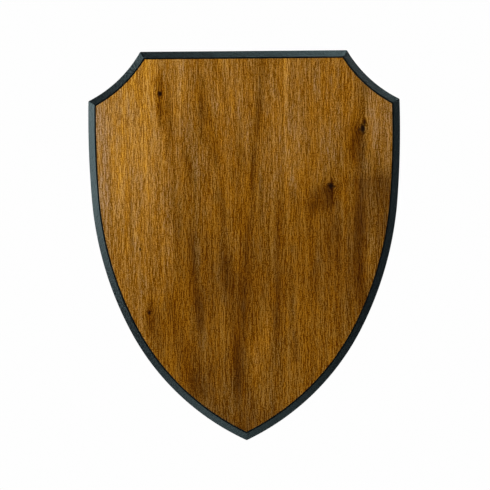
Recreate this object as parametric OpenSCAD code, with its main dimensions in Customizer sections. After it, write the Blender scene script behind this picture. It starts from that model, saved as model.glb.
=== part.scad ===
// Wall-hung award shield: a bevelled fibreboard core between two veneers, with
// a swinging hanging ring, its folded strap, two screws and two bumpers behind.
// +Z is up, the shield faces -Y, and the wall is the plane Y = 0. The origin is
// where the wall hook carries the ring. All sizes are in millimetres.

/* [Shield outline] */
// Widest width, across the sides
shield_w = 203.5; // [196:0.5:212]
// Height from the straight top edge to the tip
shield_h = 254; // [248:1:262]
// Length of the straight top edge, between the two notches
top_w = 135; // [120:1:145]
// Drop from the top edge to the shoulder corners
shoulder_drop = 32; // [26:1:38]
// Radius of the hollow notch between the top edge and a shoulder
notch_r = 81; // [60:1:120]
// Drop from the top edge to the widest place
widest_drop = 47; // [42:1:52]
// Radius of the nearly straight upper side
upper_r = 628; // [560:1:700]
// Radius of the flank below the upper side
flank_r = 224; // [218:1:232]
// Turn of the side, from the widest place to where the flank starts, in degrees
upper_turn = 4.5; // [4:0.1:5]
// Turn of the side where the flank ends and the tip arc starts, in degrees
flank_turn = 27.3; // [26:0.1:28.5]

/* [Board] */
// Thickness of the fibreboard core
core_t = 15; // [12:0.5:18]
// Thickness of each veneer
veneer_t = 0.6; // [0.5:0.1:0.9]
// Width and depth of the 45 degree bevel around the front
bevel = 4.2; // [2:0.1:6]
// Width of the flat ledge between the bevel and the veneer
ledge = 0.9; // [0.2:0.1:1.2]

/* [Hanging ring] */
// Drop from the top edge to where the wall hook carries the ring
hook_drop = 22; // [16:1:40]
// Radius of the ring's wire
wire_r = 1; // [0.8:0.1:1.1]
// Half of the clear width inside the ring
ring_half_w = 7; // [6.8:0.1:8]
// Clear height inside the ring, above its straight bar
ring_clear_h = 10; // [10:0.1:11]
// Radius of the ring's two lower bends, at the middle of the wire
bend_r = 2.5; // [2.2:0.1:2.5]

/* [Strap and screws] */
// Width of the folded strap
strap_w = 10; // [8:0.5:10]
// Thickness of the strap's steel
strap_t = 0.8; // [0.6:0.1:0.9]
// Radial running clearance between the ring's bar and the strap's eye
eye_clearance = 0.05; // [0.02:0.01:0.08]
// Drop from the hinge axis to the first screw
first_screw_drop = 7.2; // [7:0.1:7.4]
// Distance between the two screws
screw_pitch = 10; // [9.6:0.1:14]
// Outer radius of a screw's thread
screw_r = 1.5; // [1.2:0.1:1.6]
// Length of a screw below its head
screw_len = 12; // [10:0.5:13]
// Radius of a screw's round head
head_r = 2.8; // [2.4:0.1:2.9]
// Height of a screw's round head
head_h = 1.9; // [1.5:0.1:2]

/* [Bumpers] */
// Height of a bumper, which is the gap between the back and the wall
bumper_h = 4; // [3.9:0.1:5]
// Radius of a bumper where it is stuck to the back
bumper_r = 5; // [5:0.1:8]
// Distance of each bumper from the centre line
bumper_x = 50; // [30:1:52]
// Drop from the top edge to the bumpers
bumper_drop = 187; // [150:1:190]

/* [Hidden] */

outline_fn = 256;
small_fn = 64;
reach = 700; // longer than any sector of the outline needs to be
eps = 0.01;

// Depths from the wall towards the front
back_veneer_d = bumper_h;
core_d = back_veneer_d + veneer_t;
bevel_d = core_d + core_t - bevel;
face_veneer_d = core_d + core_t;

// The right side of the outline is three arcs that meet at a tangent. Here x is
// to the right, y is up, and y = 0 is the top edge. Angles open downwards.
function heading(a) = [cos(a), -sin(a)];
upper_c = [shield_w / 2 - upper_r, -widest_drop];
flank_c = upper_c + (upper_r - flank_r) * heading(upper_turn);
flank_to_tip = [0, -shield_h] - flank_c;
flank_end = heading(flank_turn);
tip_r = (flank_to_tip * flank_to_tip - 2 * flank_r * (flank_to_tip * flank_end) + pow(flank_r, 2))
  / (2 * (flank_r - flank_to_tip * flank_end));
tip_c = flank_c + (flank_r - tip_r) * flank_end;
side_arcs = [ // centre, radius, first angle, last angle
  [upper_c, upper_r, -90, upper_turn],
  [flank_c, flank_r, upper_turn, flank_turn],
  [tip_c, tip_r, flank_turn, 90]
];

// The notch is an arc through the end of the top edge and the shoulder corner
top_end = [top_w / 2, 0];
shoulder_fall = shoulder_drop - widest_drop;
shoulder = [upper_c.x + sqrt(pow(upper_r, 2) - pow(shoulder_fall, 2)), -shoulder_drop];
notch_chord = shoulder - top_end;
notch_out = [-notch_chord.y, notch_chord.x] / norm(notch_chord);
notch_c = (top_end + shoulder) / 2 + notch_out * sqrt(pow(notch_r, 2) - pow(norm(notch_chord) / 2, 2));

// The hinge of the hanging ring
eye_bore_r = wire_r + eye_clearance;
eye_r = eye_bore_r + strap_t;
hinge_y = -bumper_h + eye_r;
hinge_z = -ring_clear_h - wire_r;
ring_half = ring_half_w + wire_r;
arch_z = wire_r - ring_half;
strap_back_y = -bumper_h + 2 * strap_t;
screw_levels = [for (i = [0, 1]) hinge_z - first_screw_drop - i * screw_pitch];
screw_hole_clearance = 0.15;
screw_tip = 2.5;
recess = [0.9, 3.2, 1.1]; // arm width, arm length and depth of a cross recess
fold_lap = 1.2; // from the hinge axis down to where the rear layer leaves the eye

// Stands a shape of the outline's plane up: its height above that plane becomes
// the depth from the wall towards the front
module stand(depth) translate([0, -depth, hook_drop]) rotate([90, 0, 0]) children();

// The wedge of plane between two angles, seen from the flank's centre, which
// lies beyond the left side, so that neighbouring wedges share an edge exactly
module sector(from, to) {
  steps = 3;
  rim = [for (i = [0:steps]) flank_c + reach * heading(from + i * (to - from) / steps)];
  polygon(concat([flank_c], rim));
}

// Everything inside the right side, over a height h, as the inset goes from a to b
module inside_right(h, a, b) {
  for (arc = side_arcs) intersection() {
    translate(arc[0]) cylinder(h = h, r1 = arc[1] - a, r2 = arc[1] - b, $fn = outline_fn);
    linear_extrude(h) sector(arc[2], arc[3]);
  }
}

// The hollow of the right notch, cut past both faces at the same slope
module notch(h, a, b) {
  slope = (b - a) / h;
  translate([notch_c.x, notch_c.y, -1])
    cylinder(h = h + 2, r1 = notch_r + a - slope, r2 = notch_r + b + slope, $fn = outline_fn);
}

// Everything below the top edge
module below_top(h, a, b) {
  rotate([90, 0, 90]) linear_extrude(2 * shield_w, center = true)
    polygon([[-2 * shield_h, 0], [-a, 0], [-b, h], [-2 * shield_h, h]]);
}

// A slab of the shield of height h, whose outline is inset by a below and b above
module slab(h, a = 0, b = 0) {
  difference() {
    intersection() {
      inside_right(h, a, b);
      mirror([1, 0, 0]) inside_right(h, a, b);
      below_top(h, a, b);
    }
    notch(h, a, b);
    mirror([1, 0, 0]) notch(h, a, b);
  }
}

// Holes that the screws have cut, from the back to their tips
module screw_holes() {
  for (z = screw_levels) translate([0, strap_back_y, z])
    rotate([90, 0, 0]) cylinder(h = screw_len, r = screw_r, $fn = small_fn);
}

// Fibreboard, bevelled around the front and lacquered black on its edge
module core_board() {
  color("#22282b") difference() {
    union() {
      stand(core_d) slab(core_t - bevel);
      stand(bevel_d) slab(bevel, 0, bevel);
    }
    screw_holes();
  }
}

// Walnut veneer on the front, trimmed square inside the ledge
module face_veneer() {
  color("#7c5020") stand(face_veneer_d) slab(veneer_t, bevel + ledge, bevel + ledge);
}

// Plain balancing veneer on the back
module back_veneer() {
  color("#9a7448") difference() {
    stand(back_veneer_d) slab(veneer_t);
    screw_holes();
  }
}

// One layer of the folded strap, from a level down to its round end
module strap_layer(top_z, front_y) {
  end_z = screw_levels[1];
  translate([0, front_y + strap_t, 0]) rotate([90, 0, 0]) linear_extrude(strap_t) {
    translate([-strap_w / 2, end_z]) square([strap_w, top_z - end_z]);
    translate([0, end_z]) circle(d = strap_w, $fn = small_fn);
  }
}

module along_x(r, length) {
  translate([0, hinge_y, hinge_z]) rotate([0, 90, 0])
    cylinder(h = length, r = r, center = true, $fn = small_fn);
}

// Steel strip folded around the ring's bar and screwed down through both layers
module hanger_strap() {
  color("#b9bcbb") difference() {
    union() {
      along_x(eye_r, strap_w);
      strap_layer(hinge_z, -bumper_h);
      strap_layer(hinge_z - fold_lap, -bumper_h + strap_t);
    }
    along_x(eye_bore_r, strap_w + 2);
    for (z = screw_levels) translate([0, 0, z]) rotate([90, 0, 0])
      cylinder(h = bumper_h + 1, r = screw_r + screw_hole_clearance, $fn = small_fn);
  }
}

// One quarter bend or arch of the ring's wire, around a centre in its plane
module wire_bend(centre, r, from, turn) {
  translate(centre) rotate([0, 0, from]) rotate_extrude(angle = turn, $fn = 2 * small_fn)
    translate([r, 0]) circle(r = wire_r, $fn = small_fn);
}

// Steel wire D that swings on its straight bar
module hanger_ring() {
  bend_z = hinge_z + bend_r;
  color("#c4c6c5") {
    along_x(wire_r, 2 * (ring_half - bend_r));
    translate([0, hinge_y, 0]) rotate([90, 0, 0]) {
      wire_bend([0, arch_z], ring_half, 0, 180);
      for (side = [0, 1]) mirror([side, 0, 0]) {
        wire_bend([ring_half - bend_r, bend_z], bend_r, -90, 90);
        translate([ring_half, bend_z]) rotate([-90, 0, 0])
          cylinder(h = arch_z - bend_z, r = wire_r, $fn = small_fn);
      }
    }
  }
}

// A round-head wood screw, head up, with its head's flat side at z = 0
module wood_screw() {
  dome_r = (pow(head_r, 2) + pow(head_h, 2)) / (2 * head_h);
  difference() {
    union() {
      intersection() {
        translate([0, 0, head_h - dome_r]) sphere(r = dome_r, $fn = small_fn);
        cylinder(h = head_h, r = head_r, $fn = small_fn);
      }
      translate([0, 0, screw_tip - screw_len]) cylinder(h = screw_len - screw_tip, r = screw_r, $fn = small_fn);
      translate([0, 0, -screw_len]) cylinder(h = screw_tip, r1 = 0, r2 = screw_r, $fn = small_fn);
    }
    for (turn = [0, 90]) rotate([0, 0, turn]) translate([0, 0, head_h - recess.z / 2 + eps])
      cube([recess.y, recess.x, recess.z], center = true);
  }
}

// Both screws of the strap
module hanger_screws() {
  color("#a9aaa6") for (z = screw_levels)
    translate([0, strap_back_y, z]) rotate([-90, 0, 0]) wood_screw();
}

// Stick-on rubber dome with a flat top, which rests on the wall
module bumper(x) {
  color("#1b1b1c") translate([x, -bumper_h, hook_drop - bumper_drop]) rotate([-90, 0, 0])
    intersection() {
      sphere(r = bumper_r, $fn = small_fn);
      cylinder(h = bumper_h, r = bumper_r, $fn = small_fn);
    }
}

core_board();
face_veneer();
back_veneer();
hanger_strap();
hanger_ring();
hanger_screws();
bumper(-bumper_x);  // bumper_left
bumper(bumper_x);  // bumper_right
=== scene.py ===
import math

import bmesh
import bpy
import numpy as np
from mathutils import Matrix, Vector


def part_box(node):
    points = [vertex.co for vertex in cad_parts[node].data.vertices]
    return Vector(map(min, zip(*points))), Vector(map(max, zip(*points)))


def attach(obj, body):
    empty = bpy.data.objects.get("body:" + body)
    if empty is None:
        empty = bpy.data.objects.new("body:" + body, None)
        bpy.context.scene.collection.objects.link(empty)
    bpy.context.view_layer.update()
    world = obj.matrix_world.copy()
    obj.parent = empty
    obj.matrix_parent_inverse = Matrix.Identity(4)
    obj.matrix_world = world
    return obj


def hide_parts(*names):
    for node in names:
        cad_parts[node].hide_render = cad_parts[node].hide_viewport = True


# A wall-hung award shield: lacquered core, walnut face, plain back, hanger and bumpers.
# +Z is up, the shield faces -Y, the wall is Y = 0. Lengths are in millimetres until
# a mesh is made, and MM turns them into metres. The lights and the floor are in metres.
MM = 0.001

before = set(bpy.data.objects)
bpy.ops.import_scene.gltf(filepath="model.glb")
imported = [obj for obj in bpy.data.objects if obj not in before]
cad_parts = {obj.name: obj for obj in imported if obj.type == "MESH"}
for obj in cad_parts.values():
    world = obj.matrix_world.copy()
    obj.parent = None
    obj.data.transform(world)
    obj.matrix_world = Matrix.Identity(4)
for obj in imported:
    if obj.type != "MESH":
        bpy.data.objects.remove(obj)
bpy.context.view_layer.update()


def box_mm(node):
    """The lowest and highest corner of a CAD node, in millimetres."""
    return [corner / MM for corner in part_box(node)]


core_low, core_high = box_mm("core_board")
face_low, face_high = box_mm("face_veneer")
back_low, back_high = box_mm("back_veneer")

# ---------------------------------------------------------------- outline of the shield
# The same arcs as the CAD outline. Here x is to the right and z is up from the wall hook.
TOP_W = 135
SHOULDER_DROP = 32
NOTCH_R = 81
WIDEST_DROP = 47
UPPER_R = 628
FLANK_R = 224
UPPER_TURN = math.radians(4.5)
FLANK_TURN = math.radians(27.3)
CORNER_R = 1.2  # how far sanding has rounded the outline's corners
LEAST_CORNER_R = 0.2

TOP_Z = core_high.z
TIP = np.array([0, core_low.z])


def heading(angle):
    """The unit vector at an angle from +X."""
    return np.array([math.cos(angle), math.sin(angle)])


UPPER_C = np.array([core_high.x - UPPER_R, TOP_Z - WIDEST_DROP])
FLANK_C = UPPER_C + (UPPER_R - FLANK_R) * heading(-UPPER_TURN)
to_tip = TIP - FLANK_C
flank_end = heading(-FLANK_TURN)
TIP_R = (to_tip @ to_tip - 2 * FLANK_R * (to_tip @ flank_end) + FLANK_R**2) / (
    2 * (FLANK_R - to_tip @ flank_end)
)
TIP_C = FLANK_C + (FLANK_R - TIP_R) * flank_end

top_end = np.array([TOP_W / 2, TOP_Z])
shoulder_z = TOP_Z - SHOULDER_DROP
shoulder = np.array(
    [UPPER_C[0] + math.sqrt(UPPER_R**2 - (shoulder_z - UPPER_C[1]) ** 2), shoulder_z]
)
chord = shoulder - top_end
chord_length = np.linalg.norm(chord)
NOTCH_C = (top_end + shoulder) / 2 + np.array([-chord[1], chord[0]]) / chord_length * math.sqrt(
    NOTCH_R**2 - chord_length**2 / 4
)


def lower_crossing(c1, r1, c2, r2):
    """The lower of the two points where two circles cross."""
    apart = np.linalg.norm(c2 - c1)
    along = (c2 - c1) / apart
    a = (r1**2 - r2**2 + apart**2) / (2 * apart)
    h = math.sqrt(r1**2 - a**2)
    across = np.array([-along[1], along[0]])
    return min(c1 + a * along + h * across, c1 + a * along - h * across, key=lambda p: p[1])


def angle_at(centre, point):
    """The angle from +X at which a point is seen from a centre."""
    return math.atan2(point[1] - centre[1], point[0] - centre[0])


# The three arcs of the right side, from the shoulder to the tip
SIDE_ARCS = ((UPPER_C, UPPER_R), (FLANK_C, FLANK_R), (TIP_C, TIP_R))
SIDE_TURNS = [angle_at(UPPER_C, shoulder), -UPPER_TURN, -FLANK_TURN, angle_at(TIP_C, TIP)]
SIDE_LENGTHS = [r * (a - b) for (_, r), a, b in zip(SIDE_ARCS, SIDE_TURNS, SIDE_TURNS[1:])]


def right_side(inset, corner_r, steps):
    """The right side of the outline, inset and with rounded corners, from the top edge to the tip.

    It lies inset + corner_r inside the shield with sharp corners, and then moves out by
    corner_r. The result is a list of (sharp point, angle of the outward normal)."""
    d = inset + corner_r
    notch_steps, side_steps, corner_steps = steps
    top_z = TOP_Z - d
    top_x = NOTCH_C[0] - math.sqrt((NOTCH_R + d) ** 2 - (top_z - NOTCH_C[1]) ** 2)
    top_corner = np.array([top_x, top_z])
    shoulder_corner = lower_crossing(NOTCH_C, NOTCH_R + d, UPPER_C, UPPER_R - d)
    tip = np.array([0, TIP_C[1] - math.sqrt((TIP_R - d) ** 2 - TIP_C[0] ** 2)])

    def corner(point, first, last):
        return [(point, first + (last - first) * i / corner_steps) for i in range(corner_steps + 1)]

    def arc(centre, radius, first, last, count, outward):
        angles = [first + (last - first) * i / count for i in range(count + 1)]
        return [(centre + radius * heading(a), a + outward) for a in angles]

    first, last = angle_at(NOTCH_C, top_corner), angle_at(NOTCH_C, shoulder_corner)
    notch = arc(NOTCH_C, NOTCH_R + d, first, last, notch_steps, math.pi)
    turns = [angle_at(UPPER_C, shoulder_corner), -UPPER_TURN, -FLANK_TURN, angle_at(TIP_C, tip)]
    side = []
    for (centre, radius), length, first, last in zip(SIDE_ARCS, SIDE_LENGTHS, turns, turns[1:]):
        # every inset has the same count, so that two loops can be joined point to point
        count = round(side_steps * length / sum(SIDE_LENGTHS))
        side += arc(centre, radius - d, first, last, count, 0)[:-1]
    return (
        corner(top_corner, math.pi / 2, notch[0][1])
        + notch[1:-1]
        + corner(shoulder_corner, notch[-1][1], side[0][1])
        + side[1:]
        + corner(tip, turns[-1], -math.pi / 2)
    )


def corner_radius(inset):
    """The radius of the outline's corners, which are sharper inside the edge."""
    return max(CORNER_R - inset, LEAST_CORNER_R)


def outline_loop(inset, corner_r, columns, steps):
    """One closed loop of the outline, as an array of x and z."""
    right = right_side(inset, corner_r, steps)
    left = [(np.array([-p[0], p[1]]), math.pi - a) for p, a in right[-2::-1]]
    top_x, top_z = right[0][0]
    top = [(np.array([top_x * (2 * i / columns - 1), top_z]), math.pi / 2) for i in range(1, columns)]
    return np.array([p + corner_r * heading(a) for p, a in right + left + top])


def inside_distance(x, z):
    """How far inside the outline a point lies, square to the nearest edge."""
    p = np.stack([np.abs(x), z], -1)
    from_flank = p - FLANK_C
    turn = np.arctan2(from_flank[..., 1], from_flank[..., 0])

    def within(centre, radius):
        return radius - np.linalg.norm(p - centre, axis=-1)

    side = np.where(
        turn > -UPPER_TURN,
        within(UPPER_C, UPPER_R),
        np.where(turn > -FLANK_TURN, within(FLANK_C, FLANK_R), within(TIP_C, TIP_R)),
    )
    return np.minimum(np.minimum(TOP_Z - z, -within(NOTCH_C, NOTCH_R)), side)


# ---------------------------------------------------------------- meshes
WELD = 0.002  # points nearer than this are one point


def closed_object(name, verts, faces):
    """A linked object with a closed mesh, from points in millimetres."""
    mesh = bpy.data.meshes.new(name)
    mesh.from_pydata((np.asarray(verts, float) * MM).tolist(), [], [list(f) for f in faces])
    bm = bmesh.new()
    bm.from_mesh(mesh)
    bmesh.ops.remove_doubles(bm, verts=bm.verts, dist=WELD * MM)
    bmesh.ops.recalc_face_normals(bm, faces=bm.faces)
    bm.to_mesh(mesh)
    bm.free()
    made = bpy.data.objects.new(name, mesh)
    bpy.context.scene.collection.objects.link(made)
    return made


def new_piece(name, verts, faces, body, slot, replaces):
    """Makes a smooth-shaded piece of the object and mounts it on its body."""
    piece = closed_object(name, verts, faces)
    shade_smooth(piece.data)
    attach(piece, body)
    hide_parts(replaces)
    return piece


def shade_smooth(mesh):
    """Shades every face smoothly."""
    mesh.polygons.foreach_set("use_smooth", [True] * len(mesh.polygons))


def shade_by_angle(piece, degrees):
    """Keeps an edge crisp where its faces turn by more than an angle."""
    mesh = piece.data
    shade_smooth(mesh)
    bm = bmesh.new()
    bm.from_mesh(mesh)
    for edge in bm.edges:
        edge.smooth = len(edge.link_faces) != 2 or edge.calc_face_angle() < math.radians(degrees)
    bm.to_mesh(mesh)
    bm.free()


def keep_flats_flat(piece):
    """Lets large flat faces set the shading of the small roundings beside them."""
    weigh = piece.modifiers.new("flat faces lead", "WEIGHTED_NORMAL")
    weigh.weight = 100
    weigh.keep_sharp = True


def rounded_section(points, radii, steps=4):
    """A cross-section with its inner corners rounded: (inset, y) points, one radius each."""
    points = [np.array(p, float) for p in points]
    out = [points[0]]
    for before, at, after, r in zip(points, points[1:], points[2:], radii[1:]):
        if r == 0:
            out.append(at)
            continue
        u = (before - at) / np.linalg.norm(before - at)
        v = (after - at) / np.linalg.norm(after - at)
        half = math.acos(np.clip(u @ v, -1, 1)) / 2
        centre = at + (u + v) / np.linalg.norm(u + v) * r / math.sin(half)
        first, last = at + u * r / math.tan(half), at + v * r / math.tan(half)
        for i in range(steps + 1):
            spoke = first + (last - first) * i / steps - centre
            out.append(centre + spoke / np.linalg.norm(spoke) * r)
    return out + [points[-1]]


def stitch(faces, a, b, count):
    """A band of faces between two loops of count points, which start at vertices a and b."""
    for i in range(count):
        j = (i + 1) % count
        faces.append((a + i, a + j, b + j, b + i))


def slab(name, section, columns, steps, glued_back=False, **mounting):
    """A board of the shield's outline. Its section runs from the front face round the edge to the back.

    A glued back is never seen, so one flat face closes it."""
    verts, faces = [], []

    def add(points, y):
        start = len(verts)
        verts.extend((x, y, z) for x, z in points)
        return start

    loops = []
    for inset, y in section:
        loop = outline_loop(inset, corner_radius(inset), columns, steps)
        loops.append(add(loop, y))
        count = len(loop)
    ends = [(section[0], loops[0]), (section[-1], loops[-1])]
    if glued_back:
        _, back_loop = ends.pop()
        faces.append(range(back_loop, back_loop + count))
    for (inset, y), loop in ends:
        sharp_inset = inset + corner_radius(inset)
        flat = outline_loop(sharp_inset, 0, columns, steps)
        loops.append(add(flat, y))
        stitch(faces, loop, loops[-1], count)
        rows = [p for p, _ in right_side(sharp_inset, 0, steps)]
        rows = [p for p, q in zip(rows, rows[1:] + [None]) if q is None or np.any(p != q)]
        across = np.linspace(-1, 1, columns + 1)
        starts = [add([(p[0] * c, p[1]) for c in across], y) for p in rows]
        for upper, lower in zip(starts, starts[1:]):
            for i in range(columns):
                faces.append((upper + i, upper + i + 1, lower + i + 1, lower + i))
    for a, b in zip(loops[: len(section)], loops[1 : len(section)]):
        stitch(faces, a, b, count)
    return new_piece(name, verts, faces, **mounting)


def sweep(rings):
    """Vertices and faces of a tube through rings of points, with its ends closed."""
    count = len(rings[0])
    verts = [p for ring in rings for p in ring]
    faces = []
    for i in range(len(rings) - 1):
        stitch(faces, i * count, (i + 1) * count, count)
    faces.append(range(count))
    faces.append(range(len(verts) - count, len(verts)))
    return verts, faces


def lathe(profile, centre, steps, radius_at=None):
    """Vertices and faces of a body turned about an axis along Y. Its profile is a list of (radius, y)."""
    rings = []
    for r, y in profile:
        ring = []
        for i in range(steps):
            a = 2 * math.pi * i / steps
            radius = radius_at(r, y, a) if radius_at else r
            ring.append((centre[0] + radius * math.cos(a), y, centre[1] + radius * math.sin(a)))
        rings.append(ring)
    return sweep(rings)


def carve(piece, cutter_verts, cutter_faces):
    """Cuts a closed shape, given in millimetres, out of a piece."""
    cutter = closed_object("cutter", cutter_verts, cutter_faces)
    cut = piece.modifiers.new("cut", "BOOLEAN")
    cut.object, cut.operation, cut.solver = cutter, "DIFFERENCE", "EXACT"
    bpy.context.view_layer.update()
    result = bpy.data.meshes.new_from_object(piece.evaluated_get(bpy.context.evaluated_depsgraph_get()))
    piece.modifiers.clear()
    used_up = (piece.data, cutter.data)
    piece.data = result
    result.name = piece.name
    bpy.data.objects.remove(cutter)
    for mesh in used_up:
        bpy.data.meshes.remove(mesh)


def store(piece, name, values):
    """Keeps one number per vertex, for a material to read."""
    attribute = piece.data.attributes.new(name, "FLOAT", "POINT")
    attribute.data.foreach_set("value", np.asarray(values, np.float32))


def vertex_mm(piece):
    """The piece's vertices as rows of x, y and z, in millimetres."""
    co = np.zeros(len(piece.data.vertices) * 3)
    piece.data.vertices.foreach_get("co", co)
    return co.reshape(-1, 3) / MM


# ---------------------------------------------------------------- boards
BEVEL = 4.2
ARRIS_R = 0.45  # rounding between the edge and the bevel
LEDGE_ARRIS_R = 0.12  # rounding between the bevel and the ledge
LEDGE_Y = face_high.y  # the core's front face
BACK_ARRIS_R = 0.4
LOOP_LAP = 3  # how far in from its rim a face is meshed with loops, before its grid starts
COARSE_STEPS = (24, 110, 6)  # how many steps the notch, the side and each corner have
FINE_STEPS = (44, 240, 4)
core = slab(
    "core",
    rounded_section(
        [
            (BEVEL + LOOP_LAP, LEDGE_Y),
            (BEVEL, LEDGE_Y),
            (0, LEDGE_Y + BEVEL),
            (0, core_high.y),
            (LOOP_LAP, core_high.y),
        ],
        [0, LEDGE_ARRIS_R, ARRIS_R, 0, 0],
    ),
    columns=40,
    steps=COARSE_STEPS,
    body="shield",
    slot="edge_lacquer",
    replaces="core_board",
)
TRIM_R = 0.14  # rounding of the face veneer's trimmed edge
VENEER_LOOP_LAP = 0.4  # the same as LOOP_LAP, for the face veneer
veneer_inset = float(inside_distance(np.array(0.0), np.array(face_high.z)))
face = slab(
    "walnut_face",
    rounded_section(
        [
            (veneer_inset + VENEER_LOOP_LAP, face_low.y),
            (veneer_inset, face_low.y),
            (veneer_inset, face_high.y),
            (veneer_inset + VENEER_LOOP_LAP, face_high.y),
        ],
        [0, TRIM_R, 0, 0],
    ),
    columns=290,
    steps=FINE_STEPS,
    glued_back=True,
    body="shield",
    slot="walnut_veneer",
    replaces="face_veneer",
)
back = slab(
    "plain_back",
    rounded_section(
        [
            (LOOP_LAP, back_low.y),
            (0, back_low.y),
            (0, back_high.y),
            (LOOP_LAP, back_high.y),
        ],
        [0, 0, BACK_ARRIS_R, 0],
    ),
    columns=60,
    steps=COARSE_STEPS,
    body="shield",
    slot="back_veneer",
    replaces="back_veneer",
)
for board in (core, face, back):
    x, _, z = vertex_mm(board).T
    store(board, "rim", inside_distance(x, z))
keep_flats_flat(face)
keep_flats_flat(core)


# ---------------------------------------------------------------- figure of the walnut face
# Streaks of the figure: x and z of the upper end, x and z of the lower end, half width,
# and how much lighter the wood is there, in shares of the whole colour ramp. They go from left to right.
STREAKS = [
    # left of the left knot
    (-79, -30, -80, -88, 3.0, 0.07),
    (-75, -22, -74, -110, 1.0, -0.09),
    (-74.7, -66, -73.4, -118, 0.9, -0.16),
    (-65, -124, -60, -176, 4.0, -0.07),
    (-62.5, -138, -62, -168, 2.4, -0.14),
    (-62, -80, -61, -116, 0.9, -0.10),
    (-61, -134, -54, -188, 5.5, -0.15),
    # round and below the left knot
    (-58.5, 44, -57, -60, 1.6, 0.05),
    (-55.4, 12, -54.6, -34, 1.9, -0.27),
    (-54.0, 20, -53.0, -36, 3.8, -0.14),
    (-53.5, -6, -52, -40, 2.2, -0.08),
    (-51, -24, -49, -60, 2.4, -0.08),
    (-50, -134, -44, -172, 3.6, -0.14),
    (-49.5, 6, -48, -46, 1.8, -0.18),
    (-49, -84, -49, -140, 1.8, 0.10),
    (-47, -50, -44, -112, 3.0, -0.08),
    # from there to the middle
    (-45, -160, -42, -188, 3.0, -0.07),
    (-42, 44, -42, -34, 1.8, 0.20),
    (-40, -36, -33, -70, 2.4, -0.13),
    (-38, -158, -30, -210, 6.0, -0.10),
    (-36, -182, -32, -210, 5.0, -0.12),
    (-35, -82, -32, -150, 3.0, -0.18),
    (-31, -22, -31, -54, 1.6, -0.07),
    (-31, -130, -29, -166, 3.4, -0.18),
    (-28, 14, -27, -52, 4.0, -0.12),
    (-28, 0, -27, -30, 2.2, -0.10),
    (-27, -18, -33, -50, 0.9, 0.05),
    (-27, -34, -27, -60, 3.0, 0.08),
    (-26, -22, -18, -70, 0.9, 0.12),
    (-26, -62, -24, -100, 3.6, 0.07),
    (-24, -174, -23, -216, 3.0, -0.09),
    (-22, -4, -20, -64, 2.8, -0.12),
    (-21, -30, -19, -62, 2.6, -0.08),
    (-18, -55, -13, -98, 3.0, -0.09),
    (-17, 8, -15, -26, 3.0, 0.08),
    (-17, -138, -16, -178, 3.2, 0.07),
    # middle
    (-14, -98, -12, -142, 4.5, -0.10),
    (-13, 50, -13, -2, 2.2, 0.16),
    (-10, -54, -10, -122, 3.0, 0.07),
    (-8, -50, -8, -76, 2.0, -0.09),
    (-7, -88, -7, -130, 2.6, 0.12),
    (-5, -150, -5, -216, 4.0, -0.22),
    (-3, -6, -2, -66, 3.2, -0.10),
    (0, -8, 1, -50, 2.6, 0.12),
    (0, -110, -2, -170, 3.2, -0.18),
    (3, -70, 0, -130, 2.4, -0.16),
    (4, -190, 3, -216, 2.4, -0.07),
    (5, -160, 5, -194, 3.0, 0.10),
    (7, -30, 3, -84, 2.2, -0.20),
    (11, 2, 8, -42, 2.2, -0.28),
    (11, -168, 11, -208, 1.8, -0.11),
    (12, -60, 13, -112, 2.6, 0.05),
    (13, -134, 8, -220, 5.0, 0.09),
    (14, -140, 16, -182, 2.8, 0.09),
    (15, 44, 10, -12, 2.4, -0.18),
    (21, -112, 19, -178, 2.0, -0.15),
    (22, -64, 21, -128, 2.2, -0.13),
    # from the middle to the middle knot
    (26, -112, 24, -150, 4.0, -0.06),
    (28, 60, 28, -40, 1.8, 0.22),
    (28, -20, 27, -70, 2.0, 0.10),
    (32, -156, 33, -188, 2.4, -0.11),
    (33, -20, 32, -74, 4.0, 0.10),
    (33, -52, 34, -76, 1.6, 0.07),
    (35, -126, 35, -148, 1.6, 0.08),
    (44, -54, 42, -112, 2.5, -0.08),
    (46, -52, 44, -72, 3.0, 0.05),
    (47, -110, 45, -150, 3.0, -0.07),
    (48, -14, 48, -54, 2.0, -0.06),
    (52, -60, 41, -88, 5.0, -0.12),
    # from the middle knot to the right edge
    (55, -76, 52, -140, 9.0, -0.04),
    (56, -60, 45, -88, 4.5, -0.14),
    (56, -60, 55, -86, 3.2, -0.20),
    (56.5, -46, 56, -72, 2.0, -0.08),
    (57, -56, 57, -104, 2.8, -0.14),
    (58, -86, 59, -124, 4.5, -0.08),
    (70, -34, 68, -52, 3.0, -0.10),
    (72, -64, 74, -158, 6.5, -0.11),
    (73, -26, 72, -60, 6.0, -0.13),
    (74, -46, 76, -112, 3.8, -0.20),
    (76, -96, 76, -166, 3.8, -0.11),
    (77, -18, 75, -60, 4.0, -0.14),
    (79, 14, 77.5, -28, 3.4, -0.16),
    (83, -88, 78, -144, 3.0, 0.12),
    (84.5, 2, 85, -52, 2.4, 0.10),
    (87, -50, 86, -84, 7.0, -0.11),
    (95, -52, 90, -110, 5.0, -0.14),
]
# Knots: x, z, half width, half height and darkness of the heart
KNOTS = [
    (77.3, -29.6, 1.5, 3.0, 1.0),
    (78.4, -26.0, 0.7, 2.4, 0.8),
    (75.4, -29.9, 1.1, 1.0, 0.8),
    (56.3, -66.6, 1.4, 1.9, 1.0),
    (58.2, -67.1, 1.0, 0.7, 0.7),
    (54.6, -65.4, 0.9, 0.7, 0.6),
    (-54.7, -5.7, 1.3, 1.5, 1.0),
    (-62.8, -148.3, 0.85, 1.1, 0.9),
    (-68.4, -106.8, 0.7, 1.0, 0.8),
]


LATTICE_ROWS, LATTICE_COLUMNS = 128, 512


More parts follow.
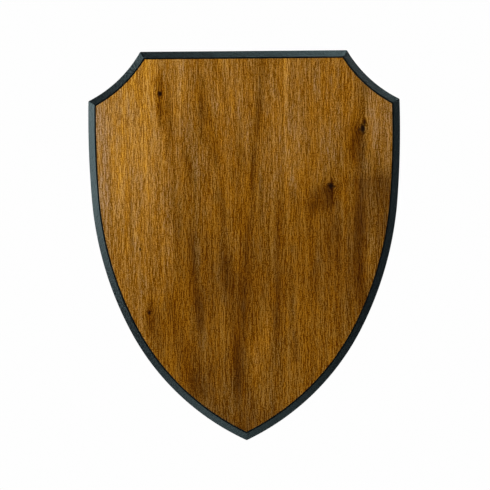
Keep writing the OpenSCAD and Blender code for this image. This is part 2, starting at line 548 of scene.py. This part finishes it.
def lattice_noise(x, z, cell_x, cell_z, seed):
    """Smooth noise from -1 to 1 on cells of a given size."""
    rng = np.random.default_rng(seed)
    values = rng.uniform(-1, 1, (LATTICE_ROWS, LATTICE_COLUMNS))
    u, v = z / cell_z + 40.5, x / cell_x + 240.5
    i, j = np.floor(u).astype(int), np.floor(v).astype(int)
    fu, fv = u - i, v - j
    fu, fv = fu * fu * (3 - 2 * fu), fv * fv * (3 - 2 * fv)
    i, j = i % LATTICE_ROWS, j % LATTICE_COLUMNS
    i2, j2 = (i + 1) % LATTICE_ROWS, (j + 1) % LATTICE_COLUMNS
    upper = values[i, j] * (1 - fv) + values[i, j2] * fv
    lower = values[i2, j] * (1 - fv) + values[i2, j2] * fv
    return upper * (1 - fu) + lower * fu


def smoothstep(low, high, value):
    """0 at low, 1 at high and smooth between them. Low may be the higher number."""
    t = np.clip((value - low) / (high - low), 0, 1)
    return t * t * (3 - 2 * t)


def patch(x, z, centre, half_size):
    """A soft patch, 1 at its centre and fading out over its half width and half height."""
    return np.exp(-(((x - centre[0]) / half_size[0]) ** 2) - ((z - centre[1]) / half_size[1]) ** 2)


def walnut_figure(x, z):
    """Lightness of the walnut from 0 to 1, without its fine grain. Its broad left-to-right gradient is
    partly painted light.
    """
    # the ragged edge of a streak follows single fibres
    x = x + 0.9 * lattice_noise(x, z, 1.2, 60, 1) + 0.8 * lattice_noise(x, z, 7, 46, 2)
    # the left side is paler, partly as paler sapwood and partly as painted light from the lamp on the left;
    # the board darkens towards its tip, and towards its right side partly as painted falloff of that light
    sapwood_and_lit_left = smoothstep(-40, -64, x)
    light = 0.50 + 0.235 * sapwood_and_lit_left - 0.16 * smoothstep(-10, -130, z)
    light -= 0.08 * sapwood_and_lit_left * smoothstep(-60, -150, z) + 0.12 * smoothstep(-200, -228, z)
    light -= 0.05 * smoothstep(40, 80, x) * smoothstep(10, -70, z)
    light += 0.05 * smoothstep(10, 40, x) * smoothstep(-120, -170, z)
    light -= 0.06 * patch(x, z, (-8, -128), (22, 40))
    # shade round the right knot, and a ripple across the grain at the height of the middle one
    light -= 0.20 * patch(x, z, (73.5, -30), (5, 9))
    light -= 0.07 * np.exp(-(((z + 64) / 5) ** 2)) * smoothstep(56, 66, x)
    for x1, z1, x2, z2, width, lighter in STREAKS:
        along = (z1 - z) / (z1 - z2)
        centre = x1 + (x2 - x1) * np.clip(along, 0, 1)
        ends = smoothstep(0, 0.35, along) * smoothstep(1, 0.65, along)
        light += lighter * ends * np.exp(-(((x - centre) / width) ** 2))
    return light + 0.032 * lattice_noise(x, z, 2.6, 60, 3) + 0.020 * lattice_noise(x, z, 1.5, 50, 4)


def walnut_warmth(x, z):
    """How far the walnut leans to orange, above 0, or to grey olive, below 0."""
    x = x + 1.5 * lattice_noise(x, z, 2.5, 50, 6)
    # greyer towards the right edge; the grey strip at the far left edge is partly the wood's own colour and
    # partly a painted sheen of the lamp on the left
    warmth = 0.26 - 0.70 * smoothstep(64, 84, x) - 0.9 * smoothstep(-83, -93, x)
    warmth -= 1.0 * np.exp(-(((x + 31.5) / 2.6) ** 2)) * smoothstep(-30, -60, z) * smoothstep(-140, -116, z)
    warmth -= 0.45 * np.exp(-(((x + 26) / 3) ** 2)) * smoothstep(-116, -146, z)
    warmth -= 0.5 * np.exp(-((x / 26) ** 2)) * smoothstep(-170, -220, z)
    warmth += 0.22 * patch(x, z, (30, -100), (24, 50))
    warmth += 0.2 * patch(x, z, (-62, -15), (12, 40))
    warmth += 0.25 * patch(x, z, (-42, -165), (12, 40))
    warmth += 0.5 * patch(x, z, (73, -32), (6, 14))
    warmth += 0.5 * patch(x, z, (-54.5, -10), (3.5, 15))
    return 1.4 * warmth + 0.3 * lattice_noise(x, z, 4.5, 60, 7) + 0.25 * lattice_noise(x, z, 12, 30, 8)


def grain_sway(x, z):
    """How far the grain is pushed aside, in millimetres: gently everywhere, and round each knot."""
    sway = 0.8 * lattice_noise(x, z, 30, 80, 5)
    for kx, kz, half_w, half_h, _ in KNOTS:
        dx, dz = (x - kx) / (4 * half_w), (z - kz) / (3.2 * half_h)
        sway -= 2.2 * half_w * dx * np.exp(-(dx**2) - dz**2)
    return sway


x, _, z = vertex_mm(face).T
store(face, "light", walnut_figure(x, z))
store(face, "warmth", walnut_warmth(x, z))
store(face, "sway", grain_sway(x, z))

# ---------------------------------------------------------------- hanger
strap_low, strap_high = box_mm("hanger_strap")
ring_low, ring_high = box_mm("hanger_ring")
screws_low, screws_high = box_mm("hanger_screws")
WIRE_R = (ring_high.y - ring_low.y) / 2
HINGE_Y = (ring_low.y + ring_high.y) / 2
HINGE_Z = ring_low.z + WIRE_R
RING_HALF = ring_high.x - WIRE_R
BEND_R = 2.5  # of the ring's two lower corners
STRAP_T = 0.8
STRAP_EASE = 0.02  # how much thinner the strap is here than in CAD
SHEARED_EDGE = 0.14  # width of the bevel that shearing leaves along the strap
STRAP_HALF_W = strap_high.x
SCREW_PITCH = 10  # from one screw to the other
SCREW_Z = [strap_low.z + STRAP_HALF_W + SCREW_PITCH, strap_low.z + STRAP_HALF_W]
SCREW_HOLE_R = 1.65
STRAP_BACK_Y = strap_low.y + 2 * STRAP_T
WIRE_SIDES, HOLE_SIDES, SCREW_SIDES, BUMPER_SIDES = 20, 40, 40, 56


def arc_points(centre, radius, first, last, count):
    """Points of an arc, with its angles in degrees."""
    angles = np.radians(np.linspace(first, last, count + 1))
    return [np.array(centre) + radius * np.array([math.cos(a), math.sin(a)]) for a in angles]


def ring_wire():
    """The D of wire, with its two ends butted inside the strap's eye."""
    gap = 0.22  # half the gap between the ends
    bend_x, bend_z = RING_HALF - BEND_R, HINGE_Z + BEND_R
    arch_z = ring_high.z - WIRE_R - RING_HALF
    half = [np.array([x, HINGE_Z]) for x in (gap, gap + 0.12, gap + 0.35, gap + 1, 2.5, 4)]
    half += arc_points((bend_x, bend_z), BEND_R, -90, 0, 14)
    half += arc_points((0, arch_z), RING_HALF, 0, 90, 30)
    path = half + [np.array([-p[0], p[1]]) for p in half[-2::-1]]
    end_radii = [0.72, 0.9]  # the ends are rounded off, in shares of the wire's radius
    rings = []
    for i, p in enumerate(path):
        ahead = path[min(i + 1, len(path) - 1)] - path[max(i - 1, 0)]
        ahead = ahead / np.linalg.norm(ahead)
        side = np.array([-ahead[1], ahead[0]])
        from_end = min(i, len(path) - 1 - i)
        radius = WIRE_R * (end_radii[from_end] if from_end < len(end_radii) else 1)
        ring = []
        for k in range(WIRE_SIDES):
            a = 2 * math.pi * k / WIRE_SIDES
            q = p + side * radius * math.cos(a)
            ring.append((q[0], HINGE_Y + radius * math.sin(a), q[1]))
        rings.append(ring)
    verts, faces = sweep(rings)
    return new_piece("ring", verts, faces, "ring", "plated_steel", "hanger_ring")


def folded_strap():
    """One strip of steel, folded round the ring's bar, with round ends and screw holes."""
    thickness = STRAP_T - STRAP_EASE
    eye_mid_r = HINGE_Y - strap_low.y - STRAP_T / 2
    front_y = HINGE_Y - eye_mid_r
    rear_y = front_y + STRAP_T
    throat_r = 1.0  # where the strip bends out of its lower run into the eye
    throat_y = rear_y + throat_r
    throat_z = HINGE_Z - math.sqrt((eye_mid_r + throat_r) ** 2 - (throat_y - HINGE_Y) ** 2)
    meet = math.degrees(math.atan2(HINGE_Z - throat_z, HINGE_Y - throat_y))
    end_z = SCREW_Z[-1]
    low = strap_low.z + STRAP_EASE / 2
    # levels up one layer of the strap, closest together at its round end
    levels = [end_z - (end_z - low) * math.sin(t) for t in np.linspace(math.pi / 2, 0, 12)]
    levels += list(np.linspace(end_z, throat_z, 14)[1:])
    path = [np.array([rear_y, z]) for z in levels[:-1]]
    path += arc_points((throat_y, throat_z), throat_r, 180, meet, 6)
    path += arc_points((HINGE_Y, HINGE_Z), eye_mid_r, meet - 180, 180, 30)[1:]
    path += [np.array([front_y, z]) for z in levels[::-1]]
    least_half_w = 0.3  # at the crown of a round end
    rings = []
    for i, p in enumerate(path):
        ahead = path[min(i + 1, len(path) - 1)] - path[max(i - 1, 0)]
        ahead = ahead / np.linalg.norm(ahead)
        out = np.array([-ahead[1], ahead[0]])
        below = max(0, end_z - p[1])
        half_w = math.sqrt(max(STRAP_HALF_W**2 - below**2, least_half_w**2))
        corners = []
        for across, through in ((-1, -1), (-1, 1), (1, 1), (1, -1)):
            a = (across * half_w, through * (thickness / 2 - SHEARED_EDGE))
            b = (across * (half_w - SHEARED_EDGE), through * thickness / 2)
            corners += [a, b] if across * through > 0 else [b, a]
        order = sorted(corners, key=lambda c: math.atan2(c[1] / thickness, c[0] / half_w))
        rings.append([(a, p[0] + out[0] * t, p[1] + out[1] * t) for a, t in order])
    verts, faces = sweep(rings)
    piece = new_piece("strap", verts, faces, "shield", "plated_steel", "hanger_strap")
    for z in SCREW_Z:
        drill = [(SCREW_HOLE_R, strap_low.y - 0.5), (SCREW_HOLE_R, STRAP_BACK_Y + 0.5)]
        carve(piece, *lathe(drill, (0, z), HOLE_SIDES))
    return piece


HEAD_R = screws_high.x
HEAD_TOP_Y = screws_high.y
THREAD_R = 1.5
ROOT_R = 1.08
THREAD_PITCH = 1.25
SCREW_TIP_LENGTH = 2.5
AXIS_R = 0.02  # a turned profile starts and ends this far from its axis
# Length, width and height above the head's top, for the mouth and the floor of each slot of the recess
RECESS_LEVELS = ((3.3, 0.95, 0.2), (1.5, 0.5, -1.1))


def wood_screw(name, z, thread_turn, recess_turn):
    """A round-head screw with a real thread and a cross recess, each turned by its own angle.

    The thread's turn is in radians and the recess's in degrees."""
    head_h = HEAD_TOP_Y - STRAP_BACK_Y
    dome_r = (HEAD_R**2 + head_h**2) / (2 * head_h)
    dome_y = HEAD_TOP_Y - dome_r
    rim = math.asin(HEAD_R / dome_r)
    dome = np.linspace(0, rim * 0.93, 14)
    profile = [(max(dome_r * math.sin(t), AXIS_R), dome_y + dome_r * math.cos(t)) for t in dome]
    profile += [
        (HEAD_R * 0.985, STRAP_BACK_Y + 0.16),
        (HEAD_R * 0.97, STRAP_BACK_Y + 0.04),
        (HEAD_R * 0.9, STRAP_BACK_Y),
    ]
    tip_y = screws_low.y
    shank = np.linspace(STRAP_BACK_Y, tip_y + 0.02, 110)
    profile += [(ROOT_R, y) for y in shank]

    def radius_at(r, y, a):
        if r != ROOT_R:
            return r
        phase = (y / THREAD_PITCH + (a + thread_turn) / (2 * math.pi)) % 1
        crest = max(0, 1 - abs(phase - 0.5) / 0.24)
        starts = smoothstep(STRAP_BACK_Y - 0.3, STRAP_BACK_Y - 1.8, y)
        taper = min(1, ((y - tip_y) / SCREW_TIP_LENGTH) ** 0.8)
        return taper * (ROOT_R + (THREAD_R - ROOT_R) * crest * starts)

    verts, faces = lathe(profile, (0, z), SCREW_SIDES, radius_at)
    piece = new_piece(name, verts, faces, "shield", "plated_steel", "hanger_screws")
    for quarter in (0, 90):
        along = heading(math.radians(recess_turn + quarter))
        across = np.array([-along[1], along[0]])
        levels = []
        for length, width, above in RECESS_LEVELS:
            corners = [
                along * sx * length / 2 + across * sy * width / 2
                for sx, sy in ((-1, -1), (1, -1), (1, 1), (-1, 1))
            ]
            levels.append([(c[0], HEAD_TOP_Y + above, z + c[1]) for c in corners])
        carve(piece, *sweep(levels))
    return piece


ring = ring_wire()
strap = folded_strap()
screws = [
    wood_screw("screw_upper", SCREW_Z[0], 0.4, 16),
    wood_screw("screw_lower", SCREW_Z[1], 1.3, 52),
]
CRISP_ANGLE = 38
for piece in (strap, *screws):
    shade_by_angle(piece, CRISP_ANGLE)
keep_flats_flat(strap)


# ---------------------------------------------------------------- bumpers
def bumper(node):
    """A moulded rubber dome with a flat, slightly dished top."""
    low, high = box_mm(node)
    centre = ((low.x + high.x) / 2, (low.z + high.z) / 2)
    radius, height = (high.x - low.x) / 2, high.y - low.y
    top_r = math.sqrt(radius**2 - height**2)
    shoulder_angle = math.asin(height / radius)
    profile = [
        (AXIS_R, high.y - 0.12),
        (top_r * 0.55, high.y - 0.10),
        (top_r * 0.75, high.y - 0.02),
        (top_r * 0.85, high.y),
        (top_r + 0.16, high.y - 0.12),
    ]
    dome = np.linspace(shoulder_angle * 0.94, 0.05, 14)
    profile += [(radius * math.cos(t), low.y + radius * math.sin(t)) for t in dome]
    profile += [(radius, low.y + 0.1), (radius - 0.05, low.y), (AXIS_R, low.y)]
    verts, faces = lathe(profile, centre, BUMPER_SIDES)
    return new_piece(node + "_dome", verts, faces, "shield", "bumper_rubber", node)


bumpers = [bumper("bumper_left"), bumper("bumper_right")]


# ---------------------------------------------------------------- materials
class Graph:
    """Builds a material's nodes, one short call for each."""

    def __init__(self, name):
        self.material = bpy.data.materials.new(name)
        self.material.use_nodes = True
        self.tree = self.material.node_tree
        self.shader = next(n for n in self.tree.nodes if n.type == "BSDF_PRINCIPLED")
        place = self.add("ShaderNodeTexCoord", out="Object")
        self.mm = self.add("ShaderNodeVectorMath", {0: place, "Scale": 1 / MM}, operation="SCALE")

    def add(self, kind, inputs=None, out=0, **settings):
        """Adds a node with its inputs linked or set, and gives one of its outputs."""
        node = self.tree.nodes.new(kind)
        for key, value in settings.items():
            setattr(node, key, value)
        for key, value in (inputs or {}).items():
            if isinstance(value, bpy.types.NodeSocket):
                self.tree.links.new(value, node.inputs[key])
            else:
                node.inputs[key].default_value = value
        return node.outputs[out]

    def math(self, operation, a, b=0.0, c=0.0):
        return self.add("ShaderNodeMath", {0: a, 1: b, 2: c}, operation=operation)

    def remap(self, value, low, high, to_low=0.0, to_high=1.0, smooth=True):
        """A value from low to high, brought to between to_low and to_high."""
        inputs = {"Value": value, "From Min": low, "From Max": high, "To Min": to_low, "To Max": to_high}
        kind = "SMOOTHSTEP" if smooth else "LINEAR"
        return self.add("ShaderNodeMapRange", inputs, interpolation_type=kind)

    def stretched(self, size, origin=None):
        """Coordinates in which a cell of the given size, in millimetres, is one unit."""
        scale = tuple(1 / s for s in size)
        return self.add("ShaderNodeVectorMath", {0: origin or self.mm, 1: scale}, operation="MULTIPLY")

    def noise(self, size, origin=None, detail=2.0, roughness=0.5, distortion=0.0):
        """Noise around 0.5 whose features have the given size in millimetres."""
        inputs = {
            "Vector": self.stretched(size, origin),
            "Scale": 1.0,
            "Detail": detail,
            "Roughness": roughness,
            "Distortion": distortion,
        }
        return self.add("ShaderNodeTexNoise", inputs)

    def vary(self, value, texture, amount):
        """A value moved up or down by a texture that lies around 0.5."""
        return self.math("MULTIPLY_ADD", self.math("SUBTRACT", texture, 0.5), amount, value)

    def pores(self, size, origin, edge, middle):
        """Scattered pores: 0 between them and 1 in their middles."""
        inputs = {"Vector": self.stretched(size, origin), "Scale": 1.0}
        distance = self.add("ShaderNodeTexVoronoi", inputs, out="Distance", feature="F1")
        return self.remap(distance, edge, middle)

    def pushed_aside(self, distance):
        """The place in millimetres, moved along X by a distance."""
        aside = self.add("ShaderNodeCombineXYZ", {0: distance, 1: 0.0, 2: 0.0})
        return self.add("ShaderNodeVectorMath", {0: self.mm, 1: aside}, operation="ADD")

    def attribute(self, name):
        """The number that store() kept under a name."""
        return self.add("ShaderNodeAttribute", out="Fac", attribute_name=name)

    def ramp(self, fac, stops):
        """A colour from a list of (place, colour) stops."""
        node = self.tree.nodes.new("ShaderNodeValToRGB")
        elements = node.color_ramp.elements
        while len(elements) < len(stops):
            elements.new(1)
        for element, (place, colour) in zip(elements, stops):
            element.position = place
            element.color = (*colour, 1)
        self.tree.links.new(fac, node.inputs[0])
        return node.outputs[0]

    def mix(self, fac, a, b):
        """Colour a where fac is 0, and colour b where it is 1."""
        sockets = {0: fac}
        # a Mix node keeps its two colours in sockets 6 and 7, and gives their mix in output 2
        for number, colour in ((6, a), (7, b)):
            sockets[number] = (*colour, 1) if isinstance(colour, tuple) else colour
        return self.add("ShaderNodeMix", sockets, out=2, data_type="RGBA")

    def multiply(self, a, b):
        return self.add("ShaderNodeVectorMath", {0: a, 1: b}, operation="MULTIPLY")

    def bump(self, height, depth, normal=None):
        """Relief of the given depth in millimetres where height goes from 0 to 1."""
        inputs = {"Height": height, "Distance": depth * MM, "Strength": 1.0}
        if normal is not None:
            inputs["Normal"] = normal
        return self.add("ShaderNodeBump", inputs)

    def set(self, **values):
        """Links or sets the shader's own inputs, which are named in lower case."""
        for key, value in values.items():
            socket = self.shader.inputs[key.replace("_", " ").title().replace("Ior", "IOR")]
            if isinstance(value, bpy.types.NodeSocket):
                self.tree.links.new(value, socket)
            else:
                socket.default_value = (*value, 1) if isinstance(value, tuple) else value


def srgb(r, g, b):
    """A linear colour from 8-bit display values."""
    return tuple(c / 255 / 12.92 if c <= 10 else ((c / 255 + 0.055) / 1.055) ** 2.4 for c in (r, g, b))


LACQUER = srgb(14, 18, 19)
KNOT_HEART = srgb(24, 12, 6)
WALNUT_RAMP = [
    (0.0, srgb(56, 27, 2)),
    (0.2, srgb(89, 51, 3)),
    (0.4, srgb(115, 73, 9)),
    (0.6, srgb(139, 94, 26)),
    (0.8, srgb(161, 115, 49)),
    (1.0, srgb(184, 135, 70)),
]
# Fine fibres darken and lighten blue most and red least, above all where the wood is dark
FINE_TINT_IN_DARK = [
    (0.0, (0.47, 0.33, 0.0)),
    (0.17, (0.62, 0.505, 0.0)),
    (0.33, (0.80, 0.715, 0.05)),
    (0.5, (1.0, 1.0, 0.84)),
    (0.67, (1.22, 1.345, 2.9)),
    (0.83, (1.46, 1.74, 5.6)),
    (1.0, (1.72, 2.15, 8.8)),
]
FINE_TINT_IN_LIGHT = [
    (0.0, (0.47, 0.37, 0.14)),
    (0.17, (0.62, 0.54, 0.32)),
    (0.33, (0.80, 0.74, 0.66)),
    (0.5, (1.0, 1.0, 1.08)),
    (0.67, (1.22, 1.31, 1.66)),
    (0.83, (1.46, 1.65, 2.40)),
    (1.0, (1.72, 2.02, 3.30)),
]
WARM_TINT = [(0.0, (0.91, 1.03, 2.0)), (0.5, (1.0, 1.0, 1.0)), (1.0, (1.09, 0.97, 0.40))]


def lacquer_material():
    """Satin blue-black spray lacquer over routed fibreboard, with painted shade darkening the ledge beside
    the walnut face.
    """
    g = Graph("black lacquer")
    mottle = g.noise((2.2, 2.2, 2.2), detail=3.0)
    speck = g.noise((1.0, 1.0, 1.0), detail=1.0, roughness=0.6)
    colour = g.mix(g.remap(speck, 0.3, 0.7), srgb(4, 5, 6), srgb(27, 33, 35))
    # painted shade: the narrow ledge between the bevel and the walnut face is darkened to near black,
    # standing in for the shade in that corner
    ledge = g.remap(g.attribute("rim"), BEVEL - 0.1, BEVEL + 0.3)
    colour = g.mix(ledge, colour, srgb(3, 4, 4))
    g.set(base_color=colour, roughness=g.remap(speck, 0.3, 0.7, 0.30, 0.50))
    fibre = g.bump(speck, 0.32)
    peel = g.bump(mottle, 0.05, fibre)
    g.set(normal=peel, specular_ior_level=0.5, specular_tint=(0.58, 0.95, 1.0))
    return g.material


def walnut_material():
    """Clear-coated walnut: the figure from the mesh, and fibres, pores and knots from nodes."""
    g = Graph("walnut veneer")
    light, warmth, sway = g.attribute("light"), g.attribute("warmth"), g.attribute("sway")
    grain = g.pushed_aside(g.vary(sway, g.noise((8, 8, 45)), 1.6))
    beside = g.add("ShaderNodeVectorMath", {0: grain, 1: (0.6, 0, 0)}, operation="ADD")

    def threads(width, length):
        """Fine threads around 0.5. Each has a weaker opposite beside it, so they leave few blotches."""
        size = (width, width, length)
        return g.vary(g.noise(size, grain, detail=1.0), g.noise(size, beside, detail=1.0), -0.45)

    lines = g.noise((1.4, 1.4, 60), grain, detail=1.0)
    fibres = threads(0.54, 8)
    dashes = threads(0.52, 3.8)
    speckle = g.noise((0.52, 0.52, 0.75), grain, detail=0.0)
    pores = g.pores((0.85, 0.85, 4.6), grain, 0.34, 0.12)
    fine = 0.03
    for texture, amount in ((lines, 0.52), (fibres, 1.20), (dashes, 1.20), (speckle, 1.12)):
        fine = g.vary(fine, texture, amount)
    fine = g.math("MULTIPLY_ADD", pores, -0.14, fine)
    fine = g.math("MULTIPLY", fine, g.remap(light, 0.3, 0.8, 1.12, 0.68, smooth=False))
    for size, amount in (((1.5, 1.5, 6), 2.4), ((4.5, 4.5, 22), 2.9)):
        warmth = g.vary(warmth, g.noise(size, grain), amount)
    fine = g.remap(fine, -0.3, 0.3, smooth=False)
    in_dark, in_light = g.ramp(fine, FINE_TINT_IN_DARK), g.ramp(fine, FINE_TINT_IN_LIGHT)
    colour = g.multiply(g.ramp(light, WALNUT_RAMP), g.mix(g.remap(light, 0.35, 0.8), in_dark, in_light))
    colour = g.multiply(colour, g.ramp(g.remap(warmth, -1.0, 1.0, smooth=False), WARM_TINT))

    heart = None
    for kx, kz, half_w, half_h, dark in KNOTS:
        offset = g.add("ShaderNodeVectorMath", {0: g.mm, 1: (kx, 0, kz)}, operation="SUBTRACT")
        flat = g.multiply(offset, (1 / half_w, 0, 1 / half_h))
        far = g.add("ShaderNodeVectorMath", {0: flat}, out="Value", operation="LENGTH")
        spot = g.remap(g.vary(far, g.noise((0.8, 0.8, 1.6)), 1.2), 1.5, 0.5, 0.0, dark)
        heart = spot if heart is None else g.math("MAXIMUM", heart, spot)
    colour = g.mix(heart, colour, KNOT_HEART)
    ragged = g.vary(g.attribute("rim"), g.noise((0.5, 0.5, 0.5)), 0.25)
    painted = g.remap(ragged, veneer_inset + 0.24, veneer_inset + 0.10)
    colour = g.mix(painted, colour, LACQUER)

    g.set(base_color=colour, roughness=g.remap(pores, 0.0, 1.0, 0.28, 0.38))
    relief = g.bump(g.math("SUBTRACT", 1.0, pores), 0.05)
    relief = g.bump(g.math("SUBTRACT", 1.0, heart), 0.12, relief)
    g.set(normal=g.bump(dashes, 0.015, relief), specular_ior_level=0.12)
    return g.material


def back_material():
    """Plain unfinished veneer, with lacquer overspray round its rim."""
    g = Graph("plain back veneer")
    grain = g.pushed_aside(g.vary(0.0, g.noise((14, 14, 60)), 6.0))
    bands = g.noise((9, 9, 150), grain, detail=3.0, roughness=0.6)
    fibres = g.noise((0.9, 0.9, 14), grain, detail=3.0, roughness=0.6)
    pores = g.pores((1.1, 1.1, 5), grain, 0.26, 0.10)
    light = g.math("MULTIPLY_ADD", pores, -0.22, g.vary(bands, fibres, 0.6))
    wood = g.ramp(light, [(0.1, srgb(108, 80, 54)), (0.5, srgb(150, 118, 84)), (0.9, srgb(182, 150, 112))])
    mist = g.noise((1.2, 1.2, 1.2), detail=4.0, roughness=0.8)
    sprayed = g.remap(g.vary(g.attribute("rim"), mist, 7.0), 3.4, 0.4)
    g.set(base_color=g.mix(sprayed, wood, LACQUER), roughness=g.remap(sprayed, 0.0, 1.0, 0.72, 0.45))
    relief = g.bump(g.math("SUBTRACT", 1.0, pores), 0.06)
    g.set(normal=g.bump(fibres, 0.05, relief), specular_ior_level=0.3)
    return g.material


def steel_material():
    """Bright zinc plate with faint clouding and handling marks."""
    g = Graph("zinc plate")
    cloud = g.noise((3.5, 3.5, 3.5), detail=3.0)
    scratches = g.noise((0.25, 4.0, 1.8), detail=4.0, roughness=0.7, distortion=0.6)
    clouding = [(0.3, srgb(176, 178, 176)), (0.55, srgb(200, 201, 196)), (0.75, srgb(206, 200, 184))]
    colour = g.ramp(cloud, clouding)
    g.set(base_color=colour, metallic=1.0, roughness=g.remap(scratches, 0.35, 0.7, 0.24, 0.44))
    g.set(normal=g.bump(scratches, 0.012))
    return g.material


def rubber_material():
    """Matt black rubber with a little dust."""
    g = Graph("bumper rubber")
    grainy = g.noise((0.35, 0.35, 0.35), detail=3.0, roughness=0.7)
    dust = g.noise((2.5, 2.5, 2.5), detail=4.0)
    colour = g.mix(g.remap(dust, 0.5, 0.8), srgb(28, 28, 29), srgb(60, 59, 57))
    g.set(base_color=colour, roughness=g.remap(grainy, 0.3, 0.7, 0.62, 0.82), specular_ior_level=0.4)
    g.set(normal=g.bump(grainy, 0.03))
    return g.material


def dress(material, *pieces):
    """Gives pieces their one material."""
    for piece in pieces:
        piece.data.materials.clear()
        piece.data.materials.append(material)


dress(lacquer_material(), core)
dress(walnut_material(), face)
dress(back_material(), back)
dress(steel_material(), ring, strap, *screws)
dress(rubber_material(), *bumpers)


# ---------------------------------------------------------------- camera, light and stage
VIEW_WIDTH = 319.7  # how much the picture spans at the outline
VIEW_CENTRE = (-0.1, -104.6)
LENS = 300
CAMERA_TURN = math.radians(0.468)  # the shield hangs a little anticlockwise in the picture

camera_data = bpy.data.cameras.new("camera")
camera_data.lens = LENS
camera = bpy.data.objects.new("camera", camera_data)
bpy.context.scene.collection.objects.link(camera)
distance = VIEW_WIDTH * LENS / camera_data.sensor_width
camera.matrix_world = (
    Matrix.Translation(Vector((VIEW_CENTRE[0], LEDGE_Y + BEVEL - distance, VIEW_CENTRE[1])) * MM)
    @ Matrix.Rotation(math.pi / 2, 4, "X")
    @ Matrix.Rotation(-CAMERA_TURN, 4, "Z")
)
camera_data.clip_start, camera_data.clip_end = 0.01, 50
bpy.context.scene.camera = camera

AIM = Vector((0, 0, -0.1))  # the shield's middle, in metres


def softbox(name, place, width, height, power, mirrored=True):
    """A soft light aimed at the shield, in metres and watts.

    Glossy surfaces show it only if it is mirrored."""
    data = bpy.data.lights.new(name, "AREA")
    data.shape, data.size, data.size_y, data.energy = "RECTANGLE", width, height, power
    light = bpy.data.objects.new(name, data)
    light.location = place
    light.rotation_mode = "QUATERNION"
    light.rotation_quaternion = (AIM - Vector(place)).to_track_quat("-Z", "Y")
    light.visible_camera = False
    light.visible_glossy = mirrored
    bpy.context.scene.collection.objects.link(light)


softbox("left wall of light", (-1.2, 0.0, 0.05), 1.2, 0.8, 9.8)
softbox("right wall of light", (1.2, 0.0, -0.1), 0.8, 0.8, 0.4)
softbox("upper left light", (-0.9, -0.05, 0.42), 0.4, 0.4, 1.3)
softbox("upper right light", (0.5, -0.05, 0.9), 0.4, 0.4, 0.5)
softbox("face light left", (-1.2, -0.9, 0.35), 0.5, 0.7, 20.6, mirrored=False)
softbox("face light right", (1.2, -1.0, 0.35), 0.5, 0.7, 14.6, mirrored=False)
softbox("top light", (0.12, -0.05, 0.36), 0.15, 0.15, 0.50)
softbox("low light left", (-0.24, -0.05, -0.5), 0.2, 0.2, 0.21)
softbox("light from below", (0.1, -0.6, -1.3), 1.6, 1.2, 7.0)
softbox("back light", (0.9, 1.2, 0.6), 0.9, 0.9, 20)
softbox("back light left", (-0.9, 1.2, 0.2), 0.9, 0.9, 12)

WHITE = 0.99
DIM = 0.04


def either(tree, choice, at_0, at_1):
    """A mix of two shaders: the first where choice is 0, and the second where it is 1."""
    mix = tree.nodes.new("ShaderNodeMixShader")
    for socket, source in zip(mix.inputs, (choice, at_0.outputs[0], at_1.outputs[0])):
        tree.links.new(source, socket)
    return mix


def seen_white(tree, dim, white):
    """White to the camera, and something dimmer to every other ray."""
    path = tree.nodes.new("ShaderNodeLightPath")
    return either(tree, path.outputs["Is Camera Ray"], dim, white)


def studio():
    """A world that is white behind the shield but gives little light."""
    world = bpy.data.worlds.new("studio")
    world.use_nodes = True
    tree = world.node_tree
    dim = tree.nodes["Background"]
    dim.inputs["Color"].default_value = (0.85, 0.95, 1.0, 1)
    dim.inputs["Strength"].default_value = DIM
    white = tree.nodes.new("ShaderNodeBackground")
    white.inputs["Color"].default_value = (1, 1, 1, 1)
    white.inputs["Strength"].default_value = WHITE
    surface = seen_white(tree, dim, white)
    tree.links.new(surface.outputs[0], tree.nodes["World Output"].inputs["Surface"])
    return world


def floor_material():
    """White to the camera and pale to the light.

    It is clear from underneath, so that a view from below shows the shield."""
    material = bpy.data.materials.new("pale floor")
    material.use_nodes = True
    tree = material.node_tree
    pale = tree.nodes["Principled BSDF"]
    pale.inputs["Base Color"].default_value = (0.3, 0.3, 0.3, 1)
    pale.inputs["Roughness"].default_value = 0.9
    glow = tree.nodes.new("ShaderNodeEmission")
    glow.inputs["Strength"].default_value = WHITE
    facing = tree.nodes.new("ShaderNodeNewGeometry")
    clear = tree.nodes.new("ShaderNodeBsdfTransparent")
    surface = either(tree, facing.outputs["Backfacing"], seen_white(tree, pale, glow), clear)
    tree.links.new(surface.outputs[0], tree.nodes["Material Output"].inputs["Surface"])
    return material


bpy.context.scene.world = studio()

HANGING_HEIGHT = 1.5  # from the floor up to the hook, in metres
FLOOR_HALF = 6  # metres
floor_mesh = bpy.data.meshes.new("floor")
floor_mesh.from_pydata(
    [(sx * FLOOR_HALF, sy * FLOOR_HALF, -HANGING_HEIGHT) for sx, sy in ((-1, -1), (1, -1), (1, 1), (-1, 1))],
    [],
    [(0, 1, 2, 3)],
)
floor_mesh.materials.append(floor_material())
floor = bpy.data.objects.new("floor", floor_mesh)
bpy.context.scene.collection.objects.link(floor)

bpy.context.scene.view_settings.view_transform = "Standard"

bpy.context.view_layer.update()
